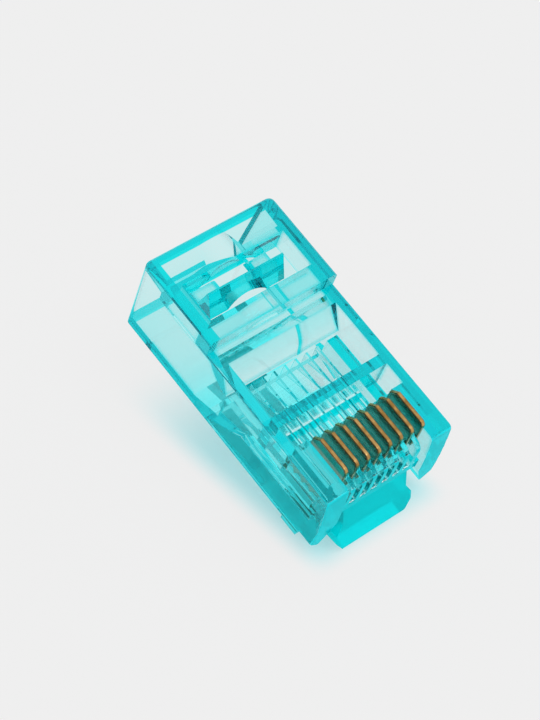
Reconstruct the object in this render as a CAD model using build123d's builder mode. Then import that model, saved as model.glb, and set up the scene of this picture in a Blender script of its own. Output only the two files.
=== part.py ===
from build123d import *
from math import cos, radians, sin, sqrt
import os

# An eight-contact modular plug of clear moulded plastic, not yet crimped onto a cable.
# It lies contacts up on the flat outer face of its latch, so the body leans nose down.
# Plug axes: x runs forward to the nose, y across, z from the latch side to the contacts.
# Their origin is the lower front edge of the nose, and x is negative inside the body.

# Body
body_length = 21.3
body_width = 11.68
nose_height = 6.62
block_height = 7.98
block_length = 7.82
upright_corner_radius = 0.52
block_edge_radius = 0.36
edge_radius = 0.18
lower_bevel = 0.35
lower_bevel_stop = 2.6
cheek_bulge = 0.52
cheek_arc_radius = 36.0
cheek_arc_height = 1.8
cheek_corner_radius = 0.45
cheek_corner_cut = 0.85
cheek_corner_cut_length = 1.0

# How the plug lies: the latch leans away from the body, and its outer face is level
latch_angle = 8.7
nose_lift = 1.76

# Room for the cable jacket, open at the rear
side_wall = 0.86
floor_wall = 0.8
room_roof_height = 5.8
arch_radius = 3.0
arch_height = 3.4
arch_front = 13.9
arch_mouth_radius = 3.6
mouth_depth = 2.1
mouth_height = 6.9
mouth_inner_height = 6.6

# Funnel that leads the wires forward, under a slanted guide wall
ramp_start = 13.5
funnel_top_start = 13.15
guide_wall_front = 10.9
guide_wall_underside = 4.35
guide_wall_bow = 0.35

# Wire channels and the ribs between them
contact_count = 8
contact_pitch = 1.016
channel_width = 0.84
rib_start = 11.2
ramp_end = 8.0
ramp_low = 1.6
channel_floor = 2.6
rib_top = 3.9
channel_front = 1.3

# Openings in the top
window_rear = 12.13
window_front = 7.13
window_half_width = 4.97
groove_rear = 6.27
groove_front = 4.45
jaw_window_rear = 18.4
jaw_window_front = 15.06
jaw_window_half_width = 4.6

# Comb of walls between the contacts
comb_half_width = 3.85
comb_top = 6.05
comb_face = 0.1
comb_round = 0.8
comb_slot_width = 0.62
comb_slot_depth = 0.95
comb_slot_floor = 3.4

# Contact blades
blade_thickness = 0.35
blade_clearance = 0.03
blade_rear = 4.27
blade_front = 0.74
blade_top = 7.6
blade_rear_slope = 0.6
blade_front_round = 0.45
blade_edge_radius = 0.08
blade_heel = 4.9
tine_count = 3
tine_rear = 4.05
tine_front = 1.5
tine_tip = 4.25
tine_tip_share = 0.5
crimp_travel = 1.45

# Recess for the latch between two rails
recess_half_width = 4.8
recess_roof_half_width = 3.45
recess_flare_height = 3.2
recess_roof = 1.75
recess_ramp_rear = 11.8
recess_ramp_front = 8.6

# Latch
neck_half_width = 3.0
neck_thickness = 0.9
hinge_back = 0.38
hinge_height = 2.55
hinge_clearance = 0.03
lip_reach = 1.25
lever_thickness = 1.0
lever_half_width = 3.11
lever_bend_radius = 0.7
ear_half_width = 3.55
ear_back = 1.3
ear_low = 1.2
ear_high = 1.95
ear_neck = 2.85
sole_half_width = 2.7
shoulder_back = 6.4
tab_half_width = 1.62
tail_back = 15.0
tail_round = 0.9
tail_edge = 0.25

# Jaw that grips the cable jacket, a wedge on a thin web
jaw_half_width = 3.43
jaw_top = 7.9
jaw_top_front = 16.8
jaw_top_rear = 16.95
jaw_toe = 15.95
jaw_heel = 17.5
jaw_web = 0.3
jaw_web_clearance = 0.03

overrun = 1.0

# Planes of the plug, leaning nose down by the latch angle
lean = radians(latch_angle)
forward = Vector(cos(lean), 0, -sin(lean))
upward = Vector(sin(lean), 0, cos(lean))
cheek_centre_x = cheek_bulge - cheek_arc_radius
cheek_reach = cheek_centre_x * cos(lean) + cheek_arc_height * sin(lean) + cheek_arc_radius
front_reach = max(cheek_reach, lip_reach)
nose_origin = Vector((body_length * cos(lean) - front_reach) / 2, 0, nose_lift)
plug = Plane(origin=nose_origin, x_dir=forward, z_dir=upward)
along_x = Axis(nose_origin, forward)
along_z = Axis(nose_origin, upward)


def side(y=0):
    """Upright plane along the plug: its x runs forward and its y runs up."""
    return Plane(origin=plug.from_local_coords((0, y, 0)), x_dir=forward, z_dir=(0, -1, 0))


def across(x):
    """Upright plane across the plug at a place along it: its x is y and its y runs up."""
    return Plane(origin=plug.from_local_coords((x, 0, 0)), x_dir=(0, 1, 0), z_dir=forward)


def contact_places():
    """Places of the contacts across the plug."""
    middle = (contact_count - 1) / 2
    return [(i - middle) * contact_pitch for i in range(contact_count)]


def cheek_front(height):
    """How far ahead the bowed front of a cheek stands at a height."""
    return cheek_centre_x + sqrt(cheek_arc_radius**2 - (height - cheek_arc_height) ** 2)


os.makedirs("parts", exist_ok=True)

# Space under the nose where the latch folds in, wider at the bottom than at its roof
with BuildPart() as latch_recess:
    with BuildSketch(side()):
        with BuildLine():
            Polyline(
                (-recess_ramp_rear, 0),
                (-recess_ramp_front, recess_roof),
                (-hinge_back - neck_thickness / 2 - hinge_clearance, recess_roof),
                (-hinge_back - neck_thickness / 2 - hinge_clearance, hinge_height),
                (comb_face, hinge_height),
                (comb_face, recess_flare_height),
                (cheek_bulge + overrun, recess_flare_height),
                (cheek_bulge + overrun, -overrun),
                (-recess_ramp_rear, -overrun),
                close=True,
            )
        make_face()
    extrude(amount=body_width / 2, both=True)
    flare = (recess_half_width - recess_roof_half_width) / recess_flare_height
    with BuildSketch(across(-body_length)):
        with BuildLine():
            Polyline(
                (-recess_half_width - flare * overrun, -overrun),
                (recess_half_width + flare * overrun, -overrun),
                (recess_roof_half_width, recess_flare_height),
                (-recess_roof_half_width, recess_flare_height),
                close=True,
            )
        make_face()
    extrude(amount=body_length + cheek_bulge + overrun, mode=Mode.INTERSECT)

# Body: one clear moulding with a taller block at its rear
with BuildPart() as housing:
    with BuildSketch(side()) as nose_side:
        with BuildLine():
            Polyline(
                (cheek_front(0), 0),
                (-body_length, 0),
                (-body_length, nose_height),
                (cheek_front(nose_height), nose_height),
            )
            ThreePointArc(
                (cheek_front(nose_height), nose_height),
                (cheek_bulge, cheek_arc_height),
                (cheek_front(0), 0),
            )
        make_face()
        top_corners = nose_side.vertices().group_by(Axis.Y)[-1]
        fillet(top_corners.sort_by(Axis.X)[-1], radius=cheek_corner_radius)
    extrude(amount=body_width / 2, both=True)
    top_edges = housing.edges().filter_by(along_x).group_by(along_z)[-1]
    fillet(top_edges + housing.edges().filter_by(GeomType.CIRCLE), radius=edge_radius)
    with BuildSketch(across(-body_length)):
        Rectangle(body_width, block_height, align=(Align.CENTER, Align.MIN))
    extrude(amount=block_length)
    rear_face = housing.faces().sort_by(along_x)[0]
    fillet(rear_face.edges().filter_by(along_z), radius=upright_corner_radius)
    block_top = housing.faces().sort_by(along_z)[-1]
    fillet(block_top.edges().sort_by(along_x)[:-1], radius=block_edge_radius)

    # Long bevels under the sides, which stop short of the nose
    for facing in (-1, 1):
        with BuildSketch(across(-body_length - overrun)):
            with BuildLine():
                Polyline(
                    (facing * (body_width / 2 - lower_bevel), 0),
                    (facing * body_width / 2, lower_bevel),
                    (facing * (body_width / 2 + overrun), lower_bevel),
                    (facing * (body_width / 2 + overrun), -overrun),
                    (facing * (body_width / 2 - lower_bevel), -overrun),
                    close=True,
                )
            make_face()
        extrude(amount=body_length + overrun - lower_bevel_stop, mode=Mode.SUBTRACT)
        with BuildSketch(across(-cheek_corner_cut_length)):
            with BuildLine():
                Polyline(
                    (facing * (body_width / 2 - cheek_corner_cut), 0),
                    (facing * body_width / 2, cheek_corner_cut),
                    (facing * (body_width / 2 + overrun), cheek_corner_cut),
                    (facing * (body_width / 2 + overrun), -overrun),
                    (facing * (body_width / 2 - cheek_corner_cut), -overrun),
                    close=True,
                )
            make_face()
        extrude(amount=cheek_corner_cut_length + cheek_bulge + overrun, mode=Mode.SUBTRACT)

    # Cable room with a higher mouth, and the funnel under the slanted guide wall
    with BuildSketch(side()):
        with BuildLine():
            Polyline(
                (-funnel_top_start, room_roof_height),
                (mouth_depth - body_length, room_roof_height),
                (mouth_depth - body_length, mouth_inner_height),
                (-body_length, mouth_height),
                (-body_length - overrun, mouth_height),
                (-body_length - overrun, floor_wall),
                (-ramp_start, floor_wall),
                (-rib_start, ramp_low),
                (-guide_wall_front, ramp_low),
                (-guide_wall_front, guide_wall_underside),
            )
            ThreePointArc(
                (-guide_wall_front, guide_wall_underside),
                (
                    -(guide_wall_front + funnel_top_start + guide_wall_bow) / 2,
                    (guide_wall_underside + room_roof_height - guide_wall_bow) / 2,
                ),
                (-funnel_top_start, room_roof_height),
            )
        make_face()
    extrude(amount=body_width / 2 - side_wall, both=True, mode=Mode.SUBTRACT)

    # Arched ceiling over the round cable, flared from the jaw window to the rear
    with BuildSketch(across(-jaw_window_rear)) as arch:
        with Locations((0, arch_height)):
            Circle(arch_radius)
            Rectangle(2 * arch_radius, arch_radius, align=(Align.CENTER, Align.MAX), mode=Mode.SUBTRACT)
    extrude(amount=jaw_window_rear - arch_front, mode=Mode.SUBTRACT)
    with BuildSketch(across(-body_length)) as arch_mouth:
        with Locations((0, arch_height)):
            Circle(arch_mouth_radius)
            Rectangle(
                2 * arch_mouth_radius, arch_mouth_radius, align=(Align.CENTER, Align.MAX), mode=Mode.SUBTRACT
            )
    loft([arch_mouth.sketch.face(), arch.sketch.face()], mode=Mode.SUBTRACT)

    # Window over the wires, with the guide wall as its slanted rear side
    with BuildSketch(side()):
        with BuildLine():
            Polyline(
                (-window_rear, nose_height + overrun),
                (-window_rear, nose_height),
                (-guide_wall_front, guide_wall_underside),
                (-guide_wall_front, rib_top),
                (-window_front, rib_top),
                (-window_front, nose_height + overrun),
                close=True,
            )
        make_face()
    extrude(amount=window_half_width, both=True, mode=Mode.SUBTRACT)

    # Groove behind the contacts
    groove_middle = -(groove_rear + groove_front) / 2
    with BuildSketch(plug.offset(rib_top)):
        with Locations((groove_middle, 0)):
            Rectangle(groove_rear - groove_front, 2 * window_half_width)
    extrude(amount=nose_height, mode=Mode.SUBTRACT)

    # Window over the jaw
    jaw_window_middle = -(jaw_window_rear + jaw_window_front) / 2
    with BuildSketch(plug.offset(room_roof_height - edge_radius)):
        with Locations((jaw_window_middle, 0)):
            Rectangle(jaw_window_rear - jaw_window_front, 2 * jaw_window_half_width)
    extrude(amount=block_height, mode=Mode.SUBTRACT)

    # Step down to the comb and its rounded front
    with BuildSketch(side()):
        with BuildLine():
            Polyline(
                (comb_face, comb_top - comb_round),
                (comb_face, -overrun),
                (cheek_bulge + overrun, -overrun),
                (cheek_bulge + overrun, nose_height + overrun),
                (-groove_front, nose_height + overrun),
                (-groove_front, comb_top),
                (comb_face - comb_round, comb_top),
            )
            RadiusArc((comb_face - comb_round, comb_top), (comb_face, comb_top - comb_round), comb_round)
        make_face()
    extrude(amount=comb_half_width, both=True, mode=Mode.SUBTRACT)

    # Each wire has a round-bottomed channel, a slot for its blade and a wider slot at the front
    for y in contact_places():
        with BuildSketch(side(y)):
            with BuildLine():
                Polyline(
                    (-rib_start - overrun, rib_top),
                    (-rib_start - overrun, ramp_low),
                    (-rib_start, ramp_low),
                    (-ramp_end, channel_floor),
                    (-ramp_end, rib_top),
                    close=True,
                )
            make_face()
        extrude(amount=channel_width / 2, both=True, mode=Mode.SUBTRACT)
        with BuildSketch(across(-ramp_end)):
            with Locations((y, channel_floor + channel_width / 2)):
                Circle(channel_width / 2)
            with Locations((y, (channel_floor + channel_width / 2 + rib_top) / 2)):
                Rectangle(channel_width, rib_top - channel_floor - channel_width / 2)
        extrude(amount=ramp_end - channel_front, mode=Mode.SUBTRACT)
        slot_floor = blade_heel - crimp_travel - blade_clearance
        slot_middle = -(blade_rear + blade_front) / 2
        with BuildSketch(plug.offset(slot_floor)):
            with Locations((slot_middle, y)):
                Rectangle(
                    blade_rear - blade_front + 2 * blade_clearance,
                    blade_thickness + 2 * blade_clearance,
                )
        extrude(amount=nose_height, mode=Mode.SUBTRACT)
        with BuildSketch(plug.offset(comb_slot_floor)):
            with Locations(((comb_face + overrun - comb_slot_depth) / 2, y)):
                Rectangle(comb_slot_depth + comb_face + overrun, comb_slot_width)
        extrude(amount=nose_height, mode=Mode.SUBTRACT)

    # Recess for the latch, and the round seat that its root turns in
    add(latch_recess.part, mode=Mode.SUBTRACT)
    with BuildSketch(side()):
        with Locations((-hinge_back, hinge_height)):
            Circle(neck_thickness / 2 + hinge_clearance)
    extrude(amount=neck_half_width + hinge_clearance, both=True, mode=Mode.SUBTRACT)

housing.part.label = "housing"
export_step(housing.part, "parts/housing.step")

# Latch: a neck that hangs from the nose and a lever that runs back under the body
ground = Plane(origin=(nose_origin.X, 0, 0), x_dir=(1, 0, 0), z_dir=(0, -1, 0))
hinge_point = ground.to_local_coords(plug.from_local_coords((-hinge_back, 0, hinge_height)))
lip_centre = (lip_reach - neck_thickness / 2, neck_thickness / 2)
with BuildPart() as latch:
    with BuildSketch(ground) as latch_side:
        with Locations(((lip_centre[0] - tail_back) / 2, lever_thickness / 2)):
            Rectangle(tail_back + lip_centre[0], lever_thickness)
        fillet(latch_side.vertices().group_by(Axis.X)[0], radius=tail_edge)
        neck_middle = ((hinge_point.X + lip_centre[0]) / 2, (hinge_point.Y + lip_centre[1]) / 2)
        SlotCenterPoint(neck_middle, (hinge_point.X, hinge_point.Y), neck_thickness)
        bend = latch_side.vertices().filter_by_position(Axis.Y, lever_thickness, lever_thickness)
        fillet(bend.sort_by(Axis.X)[-1], radius=lever_bend_radius)
    extrude(amount=ear_half_width, both=True)

    # Seen from the front: bevelled sole, two ears and a narrower neck
    neck_top = nose_lift + hinge_height + neck_thickness
    with BuildSketch(Plane(origin=(nose_origin.X - tail_back, 0, 0), x_dir=(0, 1, 0), z_dir=(1, 0, 0))):
        with BuildLine():
            Polyline(
                (0, 0),
                (sole_half_width, 0),
                (ear_half_width, ear_low),
                (ear_half_width, ear_high),
                (neck_half_width, ear_neck),
                (neck_half_width, neck_top),
                (0, neck_top),
                close=True,
            )
        make_face()
        mirror(about=Plane.YZ)
    extrude(amount=tail_back + lip_reach, mode=Mode.INTERSECT)

    # Seen from below: the ears, the wide part with its locking shoulders and the thumb tab
    with BuildSketch(Plane(origin=(nose_origin.X, 0, 0))) as latch_plan:
        with BuildLine():
            Polyline(
                (lip_reach, 0),
                (lip_reach, ear_half_width),
                (-ear_back, ear_half_width),
                (-ear_back, lever_half_width),
                (-shoulder_back, lever_half_width),
                (-shoulder_back, tab_half_width),
                (-tail_back, tab_half_width),
                (-tail_back, 0),
                close=True,
            )
        make_face()
        mirror(about=Plane.XZ)
        fillet(latch_plan.vertices().group_by(Axis.X)[0], radius=tail_round)
    extrude(amount=neck_top, mode=Mode.INTERSECT)

latch.part.label = "latch"
export_step(latch.part, "parts/latch.step")

# Jaw: a wedge on a thin web level with the roof, hollowed underneath for the round cable
jaw_pivot_x = -jaw_window_rear + jaw_web_clearance + jaw_web / 2
jaw_pivot_z = room_roof_height + jaw_web / 2
with BuildPart() as jacket_jaw:
    with BuildSketch(side()):
        with BuildLine():
            Polyline(
                (-jaw_heel, room_roof_height),
                (-jaw_toe, room_roof_height),
                (-jaw_top_front, jaw_top),
                (-jaw_top_rear, jaw_top),
                close=True,
            )
        make_face()
        with Locations((jaw_pivot_x, jaw_pivot_z)):
            Circle(jaw_web / 2)
        with Locations(((jaw_pivot_x - jaw_top_rear) / 2, jaw_pivot_z)):
            Rectangle(-jaw_top_rear - jaw_pivot_x, jaw_web)
    extrude(amount=jaw_half_width, both=True)
    with BuildSketch(across(-jaw_window_rear)):
        with Locations((0, arch_height)):
            Circle(arch_radius)
    extrude(amount=jaw_window_rear, mode=Mode.SUBTRACT)

jacket_jaw.part.label = "jacket_jaw"
export_step(jacket_jaw.part, "parts/jacket_jaw.step")

# Contacts: gold-plated blades with piercing tines, standing proud until they are pressed in
for number, y in enumerate(contact_places(), start=1):
    tine_width = (tine_rear - tine_front) / tine_count
    with BuildPart() as contact:
        with BuildSketch(side(y)):
            with BuildLine():
                Polyline(
                    (-blade_front, blade_top - blade_front_round),
                    (-blade_front, blade_heel),
                    (-tine_front, blade_heel),
                    *[
                        (-tine_front - (i + step) * tine_width, height)
                        for i in range(tine_count)
                        for step, height in ((tine_tip_share, tine_tip), (1, blade_heel))
                    ],
                    (-blade_rear, blade_heel),
                    (-blade_rear, blade_top - blade_rear_slope),
                    (-blade_rear + blade_rear_slope, blade_top),
                    (-blade_front - blade_front_round, blade_top),
                )
                RadiusArc(
                    (-blade_front - blade_front_round, blade_top),
                    (-blade_front, blade_top - blade_front_round),
                    blade_front_round,
                )
            make_face()
        extrude(amount=blade_thickness / 2, both=True)
        rims = contact.faces().filter_by(Axis.Y).edges()
        above_heel = (blade_heel + blade_edge_radius, blade_top + blade_edge_radius)
        fillet(rims.filter_by_position(along_z, *above_heel), radius=blade_edge_radius)
    contact.part.label = f"contact_{number}"
    export_step(contact.part, f"parts/contact_{number}.step")
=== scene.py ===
"""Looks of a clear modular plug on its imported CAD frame: plastic, gold, floor, light, camera."""

import math

import bpy
from mathutils import Matrix, Vector


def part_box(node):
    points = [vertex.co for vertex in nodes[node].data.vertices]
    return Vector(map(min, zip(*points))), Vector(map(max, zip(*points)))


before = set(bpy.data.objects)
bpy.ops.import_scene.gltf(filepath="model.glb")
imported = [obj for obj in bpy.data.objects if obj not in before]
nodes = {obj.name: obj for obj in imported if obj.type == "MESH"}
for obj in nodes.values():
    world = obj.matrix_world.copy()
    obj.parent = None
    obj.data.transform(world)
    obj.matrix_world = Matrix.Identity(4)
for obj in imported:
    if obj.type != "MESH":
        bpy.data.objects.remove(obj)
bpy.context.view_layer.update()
MM = 0.001

# The plug leans nose down. Its own axes: forward, across and up, from the lower edge of the nose.
LEAN = math.radians(8.7)
FORWARD = Vector((math.cos(LEAN), 0, -math.sin(LEAN)))
ACROSS = Vector((0, 1, 0))
UPWARD = Vector((math.sin(LEAN), 0, math.cos(LEAN)))
LIP_REACH = 1.25
NOSE_HEIGHT = 1.76
NOSE = Vector((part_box("latch")[1].x - LIP_REACH * MM, 0, NOSE_HEIGHT * MM))

# Camera, fitted to the photograph's outlines, in the plug's own axes.
# The offset is where the nose lies from the camera: right, down and ahead, in millimetres.
CAMERA_RIGHT = (0.6062, 0.7637, 0.2221)
CAMERA_DOWN = (0.7407, -0.4404, -0.5074)
CAMERA_AHEAD = (-0.2897, 0.4721, -0.8326)
CAMERA_OFFSET = (6.781, 10.415, 164.004)
FOCAL_PX = 2302.48
FRAME_HEIGHT_PX = 720
SENSOR_MM = 36.0
CLIP_START = 0.001
CLIP_END = 10.0

# Where the plug's walls end and its rooms lie, in its own axes and in millimetres
WALL_INNER = 4.98
REAR_RIM = -20.72
BRIDGE_REAR = -7.13
BRIDGE_FRONT = -6.27
CHEEK_REAR = -4.45
CHEEK_INNER = 3.85
JAW_WINDOW_REAR = -18.4
BLOCK_FRONT = -13.48
CHANNEL_TOP = 4.4
CHANNEL_REAR = -13.6
MOUTH_FRONT = -18.6
ROOF_INNER = 7.0
RIM_FLOOR = 0.7
RIM_FRONT = -20.3
NOSE_FRONT = 0.0
SOFT = 0.06

# Cosines between which a face comes to count as facing up or ahead
FACES_UP = (0.1, 0.2)
FACES_AHEAD = (0.6, 0.7)

# All clear plastic
CLEAR_BASE = {"Roughness": 0.0, "IOR": 1.58}
FULLY_CLEAR = 1.0
USUAL_SHINE = 0.5
FLOW_MARKS = {"Scale": 340.0, "Detail": 2.0, "Roughness": 0.5, "Distortion": 0.6}
FLOW_RELIEF = {"Strength": 0.1, "Distance": 0.03 * MM}
FLOW_DEPTH = 0.9
# Painted edge depth: a deeper cyan painted along the edges, standing in for the long paths of
# light through the plastic there
EDGE_RADIUS = 0.6 * MM
EDGE_SAMPLES = 4
PAINTED_EDGE_DEPTH = ((0.76, (0.04, 0.86, 0.90, 1.0)), (0.985, (0.97, 1.0, 1.0, 1.0)))

# The housing's painted light: its edge depth paled in its calm rooms, a deeper cyan painted at the
# ends of its walls, with the near side's share of that, and a painted glow on the front faces of
# its nose
CALM_SHARE = 0.8
CALM_COLOUR = (0.94, 1.0, 1.0, 1.0)
PAINTED_WALL_END_DEPTH = (0.0, 0.78, 0.83, 1.0)
NEAR_SIDE = 0.35
PAINTED_FRONT_GLOW = (0.0, 0.80, 0.88, 1.0)
FRONT_CLEARNESS = 0.35

# The plastic of each piece: the absorbed colour gathers with depth, at the density
HOUSING_LOOK = {
    "density": 310.0,
    "absorbed": (0.0, 0.89, 0.91, 1.0),
    "gloss": (0.2, 1.0, 1.0, 1.0),
    # The housing also gets painted light: deeper cyan at its wall ends and a glow on its nose's
    # front
    "with_painted_light": True,
}
JAW_LOOK = {
    "density": 2000.0,
    "absorbed": (0.0, 0.94, 0.95, 1.0),
    "gloss": (0.2, 1.0, 1.0, 1.0),
}
LATCH_LOOK = {
    "density": 4000.0,
    "absorbed": (0.0, 0.99, 0.992, 1.0),
    "gloss": (0.05, 1.0, 1.0, 1.0),
    "clearness": 0.35,
    "shine": 0.2,
    "uniform_tint": (0.0, 0.84, 0.89, 1.0),
}

# Contacts: the tones follow the grain, the rims get painted shade, and the turns are cosines to
# the stamped sides
GOLD_BASE = {"Metallic": 1.0}
GOLD_GRAIN = {"Scale": 1500.0, "Detail": 4.0, "Roughness": 0.6}
GOLD_TONES = ((0.35, (0.33, 0.18, 0.048, 1.0)), (0.7, (0.62, 0.395, 0.155, 1.0)))
PLATE_TONES = ((0.3, (0.34, 0.32, 0.25, 1.0)), (0.8, (0.46, 0.43, 0.34, 1.0)))
GOLD_ROUGHNESS = (0.12, 0.26)
RIM_SHADE_COLOUR = (0.14, 0.08, 0.03, 1.0)
RIM_SHADE_TURN = (0.1, 0.4)
SIDE_TURN = (0.86, 0.98)

# Floor, with half its side in metres
FLOOR_HALF = 3.0
FLOOR_BASE = {"Roughness": 0.9, "Specular_IOR_Level": 0.0}
FLOOR_COLOUR = (0.863, 0.863, 0.863, 1.0)

# Where a pool of cyan light is painted on the floor, for the light that falls through the plug,
# and where the floor mirrors as painted cyan.
# Each pair runs from where the patch ends to where it is full, in millimetres.
GLOW_SIDE = (6.9, 4.4)
GLOW_CENTRE = 6.0
GLOW_SLOPE = 0.10
GLOW_FRONT = (12.4, 9.8)
GLOW_REAR = (-10.0, 0.0)
PAINTED_GLOW_COLOUR = (0.54, 0.86, 0.89, 1.0)
# Painted light: the floor is painted deeper cyan where plastic shows it, and cyan in reflections
# round the plug
PAINTED_LIT_COLOUR = (0.22, 0.98, 1.0, 1.0)
MIRROR_SIDE = (16.0, 8.0)
MIRROR_FRONT = (34.0, 18.0)
PAINTED_MIRROR_COLOUR = (0.1, 0.77, 0.80, 1.0)

# How much of its own light the floor shows, far from the patch and in it
FAR_SHARE = 0.93
NEAR_SHARE = 0.6
NEAR_SHARE_STUDIO = 0.95

# Light, in metres and watts
LAMP_PLACE = (0.16, 0.07, 0.45)
LAMP_SIZE = 0.26
LAMP_WATTS = 0.55
SKY_COLOUR = (0.8, 0.8, 0.8, 1.0)
DIM_DIRECTION = Vector((0.40, -0.50, 0.77)).normalized()
STUDIO_TONES = ((0.80, (0.92, 0.92, 0.92, 1.0)), (0.93, (0.42, 0.42, 0.42, 1.0)))

# Light that is led along inside the clear walls bounces often
BOUNCES = 128

# Sockets of a Mix node that mixes colours
MIX_SHARE = 0
MIX_FIRST = 6
MIX_SECOND = 7
MIX_RESULT = 2


def turned(v):
    """A direction of the plug's own axes as a direction of the frame."""
    return FORWARD * v[0] + ACROSS * v[1] + UPWARD * v[2]


def make_camera():
    data = bpy.data.cameras.new("camera")
    data.sensor_fit = "AUTO"
    data.sensor_width = SENSOR_MM
    data.lens = SENSOR_MM * FOCAL_PX / FRAME_HEIGHT_PX
    data.clip_start = CLIP_START
    data.clip_end = CLIP_END
    camera = bpy.data.objects.new("camera", data)
    bpy.context.scene.collection.objects.link(camera)
    right, down, ahead = (Vector(v) for v in (CAMERA_RIGHT, CAMERA_DOWN, CAMERA_AHEAD))
    place = -(right * CAMERA_OFFSET[0] + down * CAMERA_OFFSET[1] + ahead * CAMERA_OFFSET[2])
    matrix = Matrix((turned(right), -turned(down), -turned(ahead))).transposed().to_4x4()
    matrix.translation = NOSE + turned(place) * MM
    camera.matrix_world = matrix
    bpy.context.scene.camera = camera


# Helpers for node trees. A value is a socket of another node, or a constant.
def new_material(name):
    material = bpy.data.materials.new(name)
    material.use_nodes = True
    material.node_tree.nodes.clear()
    return material, material.node_tree


def feed(tree, value, socket):
    """Gives an input its value: a link or a constant."""
    if isinstance(value, bpy.types.NodeSocket):
        tree.links.new(value, socket)
    else:
        socket.default_value = value


def add_node(tree, kind, **inputs):
    """A new node with the values of its inputs, which are named with _ for a space."""
    node = tree.nodes.new("ShaderNode" + kind)
    for name, value in inputs.items():
        feed(tree, value, node.inputs[name.replace("_", " ")])
    return node


def operate(tree, kind, operation, values):
    node = tree.nodes.new("ShaderNode" + kind)
    node.operation = operation
    for value, socket in zip(values, node.inputs):
        feed(tree, value, socket)
    return node.outputs


def math_node(tree, operation, *values):
    return operate(tree, "Math", operation, values)["Value"]


def times(tree, first, *others):
    for other in others:
        first = math_node(tree, "MULTIPLY", first, other)
    return first


def highest(tree, first, *others):
    for other in others:
        first = math_node(tree, "MAXIMUM", first, other)
    return first


def dot(tree, first, second):
    return operate(tree, "VectorMath", "DOT_PRODUCT", (first, second))["Value"]


def step(tree, value, low, high):
    """0 where the value is at low and beyond, 1 where it is at high and beyond."""
    node = add_node(tree, "MapRange", Value=value, From_Min=low, From_Max=high)
    node.interpolation_type = "SMOOTHSTEP"
    return node.outputs["Result"]


def step_mm(tree, value, low, high):
    """A step between two places given in millimetres."""
    return step(tree, value, low * MM, high * MM)


def past(tree, value, edge):
    """1 from an edge on, with a soft start just before it, in millimetres."""
    return step_mm(tree, value, edge - SOFT, edge)


def short_of(tree, value, edge):
    """1 up to an edge, with a soft end just behind it, in millimetres."""
    return step_mm(tree, value, edge + SOFT, edge)


def between(tree, share, first, second):
    """The first value where the share is 0, the second where it is 1."""
    return add_node(tree, "MapRange", Value=share, To_Min=first, To_Max=second).outputs["Result"]


def mix_colour(tree, share, first, second):
    """The first colour where the share is 0, the second where it is 1."""
    node = tree.nodes.new("ShaderNodeMix")
    node.data_type = "RGBA"
    feed(tree, share, node.inputs[MIX_SHARE])
    feed(tree, first, node.inputs[MIX_FIRST])
    feed(tree, second, node.inputs[MIX_SECOND])
    return node.outputs[MIX_RESULT]


def mix_shader(tree, share, first, second):
    """The first shader where the share is 0, the second where it is 1."""
    node = tree.nodes.new("ShaderNodeMixShader")
    for value, socket in zip((share, first, second), node.inputs):
        feed(tree, value, socket)
    return node.outputs["Shader"]


def colour_ramp(tree, share, stops):
    """A colour that runs from the first stop to the second. A stop is a place and its colour."""
    node = add_node(tree, "ValToRGB", Fac=share)
    for element, (position, colour) in zip(node.color_ramp.elements, stops):
        element.position = position
        element.color = colour
    return node.outputs["Color"]


def shows_studio(tree, path):
    """1 for the rays by which clear plastic and metal show their surroundings."""
    return highest(tree, path["Is Glossy Ray"], path["Is Transmission Ray"])


# Places on the plug
def plug_axes(tree, place):
    """How far a point lies forward, across and up from the nose, in the plug's own axes."""
    from_nose = operate(tree, "VectorMath", "SUBTRACT", (place, NOSE))["Vector"]
    return [dot(tree, from_nose, axis) for axis in (FORWARD, ACROSS, UPWARD)]


def side_tops(tree, x, across):
    """The tops of the side walls and of the cheeks, painted deeper cyan. On the near side, ahead
    of the block, less.
    """
    y = math_node(tree, "ABSOLUTE", across)
    cheek = times(tree, past(tree, x, CHEEK_REAR), past(tree, y, CHEEK_INNER))
    far_side = step_mm(tree, across, -SOFT, SOFT)
    fullness = highest(tree, far_side, short_of(tree, x, BLOCK_FRONT), NEAR_SIDE)
    return times(tree, highest(tree, past(tree, y, WALL_INNER), cheek), fullness)


def wall_ends(tree, spot, normal):
    """Where one looks into a wall edgeways, painted deeper cyan for the long path of light: side
    walls, rear rim, bridge, cheeks, jaw window.
    """
    x, across, _ = spot
    bridge = times(tree, past(tree, x, BRIDGE_REAR), short_of(tree, x, BRIDGE_FRONT))
    tops = highest(tree, side_tops(tree, x, across), short_of(tree, x, REAR_RIM), bridge)
    window = past(tree, x, JAW_WINDOW_REAR)
    jaw_wall = times(tree, window, short_of(tree, x, JAW_WINDOW_REAR + SOFT))
    up = step(tree, dot(tree, normal, UPWARD), *FACES_UP)
    ahead = step(tree, dot(tree, normal, FORWARD), *FACES_AHEAD)
    return highest(tree, times(tree, up, tops), times(tree, ahead, jaw_wall))


def nose_front(tree, spot, normal):
    """The front faces of the comb and the cheeks, with a painted glow for the light led there by
    the walls.
    """
    ahead = step(tree, dot(tree, normal, FORWARD), *FACES_AHEAD)
    return times(tree, ahead, past(tree, spot[0], NOSE_FRONT))


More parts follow.
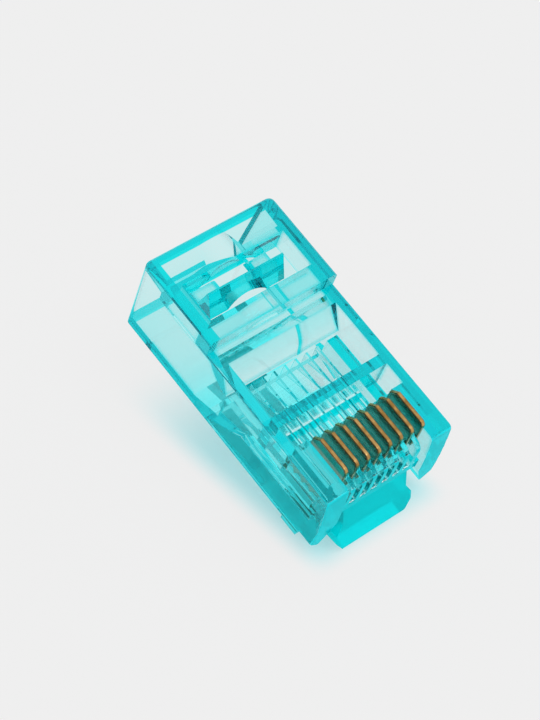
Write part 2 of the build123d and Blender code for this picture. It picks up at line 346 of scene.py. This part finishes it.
def calm_zone(tree, spot):
    """The wire channels and the inside of the rear mouth, whose edges show only faintly: the
    painted edge depth is paled there.
    """
    x, across, z = spot
    inside_walls = short_of(tree, math_node(tree, "ABSOLUTE", across), WALL_INNER)
    ahead = step_mm(tree, x, CHANNEL_REAR, CHANNEL_REAR + SOFT)
    channels = times(tree, short_of(tree, z, CHANNEL_TOP), ahead)
    below_roof = short_of(tree, z, ROOF_INNER)
    mouth = times(tree, below_roof, short_of(tree, x, MOUTH_FRONT))
    inside = times(tree, inside_walls, highest(tree, channels, mouth))
    above_floor = step_mm(tree, z, RIM_FLOOR, RIM_FLOOR + SOFT)
    rim = times(tree, above_floor, short_of(tree, x, RIM_FRONT), below_roof)
    return highest(tree, inside, rim)


# Clear plastic
def painted_edge_depth(tree, normal):
    """Nearly clear on flat faces, with a deeper cyan painted along the edges for the long paths of
    light there.
    """
    edge = add_node(tree, "Bevel", Radius=EDGE_RADIUS)
    edge.samples = EDGE_SAMPLES
    return colour_ramp(tree, dot(tree, edge.outputs["Normal"], normal), PAINTED_EDGE_DEPTH)


def flow_tint(tree, flow, tint):
    """One tint all over, a little uneven with the flow marks."""
    return mix_colour(tree, flow, [FLOW_DEPTH * c for c in tint], tint)


def painted_housing_light(tree, spot, normal, front, colour):
    """The painted edge depth, calmer in the rooms, with painted deeper cyan at the wall ends and a
    painted glow at the nose's front.
    """
    calm = times(tree, calm_zone(tree, spot), CALM_SHARE)
    colour = mix_colour(tree, calm, colour, CALM_COLOUR)
    colour = mix_colour(tree, wall_ends(tree, spot, normal), colour, PAINTED_WALL_END_DEPTH)
    return mix_colour(tree, front, colour, PAINTED_FRONT_GLOW)


def clear_plastic(
    name,
    density,
    absorbed,
    gloss,
    clearness=FULLY_CLEAR,
    shine=USUAL_SHINE,
    with_painted_light=False,
    uniform_tint=None,
):
    """Clear cyan moulding: its tint grows with depth, and a deeper cyan is painted along the edges
    for the light's long paths there.
    """
    material, tree = new_material(name)
    place = add_node(tree, "TexCoord").outputs["Object"]
    normal = add_node(tree, "NewGeometry").outputs["Normal"]
    flow = add_node(tree, "TexNoise", Vector=place, **FLOW_MARKS).outputs["Fac"]
    relief = add_node(tree, "Bump", Height=flow, **FLOW_RELIEF).outputs["Normal"]
    shader = add_node(
        tree,
        "BsdfPrincipled",
        Transmission_Weight=clearness,
        Specular_Tint=gloss,
        Specular_IOR_Level=shine,
        Normal=relief,
        **CLEAR_BASE,
    )
    colour = flow_tint(tree, flow, uniform_tint) if uniform_tint else painted_edge_depth(tree, normal)
    # Painted light on the housing: paler rooms, deeper wall ends, a glowing nose front
    if with_painted_light:
        spot = plug_axes(tree, place)
        front = nose_front(tree, spot, normal)
        colour = painted_housing_light(tree, spot, normal, front, colour)
        # Less clear at the nose's front, so that its painted glow shows
        clearer = between(tree, front, clearness, FRONT_CLEARNESS)
        feed(tree, clearer, shader.inputs["Transmission Weight"])
    feed(tree, colour, shader.inputs["Base Color"])
    depth = add_node(tree, "VolumeAbsorption", Color=absorbed, Density=density)
    surface = shader.outputs["BSDF"]
    add_node(tree, "OutputMaterial", Surface=surface, Volume=depth.outputs["Volume"])
    return material


def gold_contact():
    """Gold on the edges that touch the jack, with painted shade along their rounded rims, and
    duller plating on the stamped sides.
    """
    material, tree = new_material("gold_contact")
    place = add_node(tree, "TexCoord").outputs
    grain = add_node(tree, "TexNoise", Vector=place["Object"], **GOLD_GRAIN).outputs["Fac"]
    facing = add_node(tree, "SeparateXYZ", Vector=place["Normal"]).outputs
    sideways = math_node(tree, "ABSOLUTE", facing["Y"])
    gold = colour_ramp(tree, grain, GOLD_TONES)
    plate = colour_ramp(tree, grain, PLATE_TONES)
    # Painted shade on the rounded rims, where the gold turns towards the stamped sides
    rim = mix_colour(tree, step(tree, sideways, *RIM_SHADE_TURN), gold, RIM_SHADE_COLOUR)
    colour = mix_colour(tree, step(tree, sideways, *SIDE_TURN), rim, plate)
    rough = between(tree, grain, *GOLD_ROUGHNESS)
    shader = add_node(tree, "BsdfPrincipled", Base_Color=colour, Roughness=rough, **GOLD_BASE)
    add_node(tree, "OutputMaterial", Surface=shader.outputs["BSDF"])
    return material


# Floor
def glow_patch(tree, x, y):
    """Where the cyan light is painted on the floor: under and round the nose, a little askew."""
    along = math_node(tree, "SUBTRACT", x, GLOW_CENTRE * MM)
    middle = times(tree, along, GLOW_SLOPE)
    aside = math_node(tree, "ABSOLUTE", math_node(tree, "SUBTRACT", y, middle))
    ahead = step_mm(tree, x, *GLOW_FRONT)
    behind = step_mm(tree, x, *GLOW_REAR)
    return times(tree, ahead, behind, step_mm(tree, aside, *GLOW_SIDE))


def shown_colour(tree, path, x, y, near, tone):
    """The floor's own light, with painted light: a painted deeper cyan where plastic shows it, and
    painted cyan all round in reflections.
    """
    unseen = math_node(tree, "SUBTRACT", 1.0, path["Is Camera Ray"])
    lit = mix_colour(tree, times(tree, near, unseen), tone, PAINTED_LIT_COLOUR)
    aside = math_node(tree, "ABSOLUTE", y)
    wide = times(tree, step_mm(tree, aside, *MIRROR_SIDE), step_mm(tree, x, *MIRROR_FRONT))
    rays = (path["Is Glossy Ray"], path["Is Transmission Ray"])
    reflected = math_node(tree, "GREATER_THAN", *rays)
    return mix_colour(tree, times(tree, wide, reflected), lit, PAINTED_MIRROR_COLOUR)


def floor_material():
    """Pale floor: a contact shadow, and a painted cyan patch for the light that comes through the
    plug onto it.
    """
    material, tree = new_material("floor")
    place = add_node(tree, "TexCoord").outputs["Object"]
    spot = add_node(tree, "SeparateXYZ", Vector=place).outputs
    path = add_node(tree, "LightPath").outputs
    near = glow_patch(tree, spot["X"], spot["Y"])
    tone = mix_colour(tree, near, FLOOR_COLOUR, PAINTED_GLOW_COLOUR)
    lit = add_node(tree, "BsdfPrincipled", Base_Color=tone, **FLOOR_BASE).outputs["BSDF"]
    shown = shown_colour(tree, path, spot["X"], spot["Y"], near, tone)
    own = add_node(tree, "Emission", Color=shown).outputs["Emission"]
    seen = highest(tree, path["Is Camera Ray"], shows_studio(tree, path))
    share_near = between(tree, path["Is Camera Ray"], NEAR_SHARE_STUDIO, NEAR_SHARE)
    share = times(tree, seen, between(tree, near, FAR_SHARE, share_near))
    add_node(tree, "OutputMaterial", Surface=mix_shader(tree, share, lit, own))
    return material


def make_floor():
    corners = [(-FLOOR_HALF, -FLOOR_HALF), (FLOOR_HALF, -FLOOR_HALF)]
    corners += [(FLOOR_HALF, FLOOR_HALF), (-FLOOR_HALF, FLOOR_HALF)]
    mesh = bpy.data.meshes.new("floor")
    mesh.from_pydata([(x, y, 0.0) for x, y in corners], [], [tuple(range(len(corners)))])
    mesh.materials.append(floor_material())
    obj = bpy.data.objects.new("floor", mesh)
    bpy.context.scene.collection.objects.link(obj)
    return obj


# Light
def make_lamp():
    data = bpy.data.lights.new("key", "AREA")
    data.shape = "DISK"
    data.size = LAMP_SIZE
    data.energy = LAMP_WATTS
    lamp = bpy.data.objects.new("key", data)
    bpy.context.scene.collection.objects.link(lamp)
    lamp.location = LAMP_PLACE
    lamp.rotation_mode = "QUATERNION"
    lamp.rotation_quaternion = (-Vector(LAMP_PLACE)).to_track_quat("-Z", "Y")
    lamp.visible_transmission = False


def make_world():
    """Even pale light. Plastic and metal show a studio that is dim on the camera's side."""
    world = bpy.data.worlds.new("world")
    bpy.context.scene.world = world
    world.use_nodes = True
    tree = world.node_tree
    tree.nodes.clear()
    sky = add_node(tree, "Background", Color=SKY_COLOUR).outputs["Background"]
    direction = add_node(tree, "TexCoord").outputs["Generated"]
    tones = colour_ramp(tree, dot(tree, direction, DIM_DIRECTION), STUDIO_TONES)
    studio = add_node(tree, "Background", Color=tones).outputs["Background"]
    share = shows_studio(tree, add_node(tree, "LightPath").outputs)
    add_node(tree, "OutputWorld", Surface=mix_shader(tree, share, sky, studio))


def assign(obj, material):
    obj.data.materials.clear()
    obj.data.materials.append(material)


make_camera()
make_lamp()
make_world()
assign(nodes["housing"], clear_plastic("clear_plastic", **HOUSING_LOOK))
assign(nodes["jacket_jaw"], clear_plastic("clear_plastic_jaw", **JAW_LOOK))
assign(nodes["latch"], clear_plastic("clear_plastic_deep", **LATCH_LOOK))
gold = gold_contact()
for name in nodes:
    if name.startswith("contact_"):
        assign(nodes[name], gold)

floor = make_floor()

scene = bpy.context.scene
scene.view_settings.view_transform = "Standard"
scene.cycles.max_bounces = BOUNCES
scene.cycles.transmission_bounces = BOUNCES
scene.cycles.glossy_bounces = BOUNCES
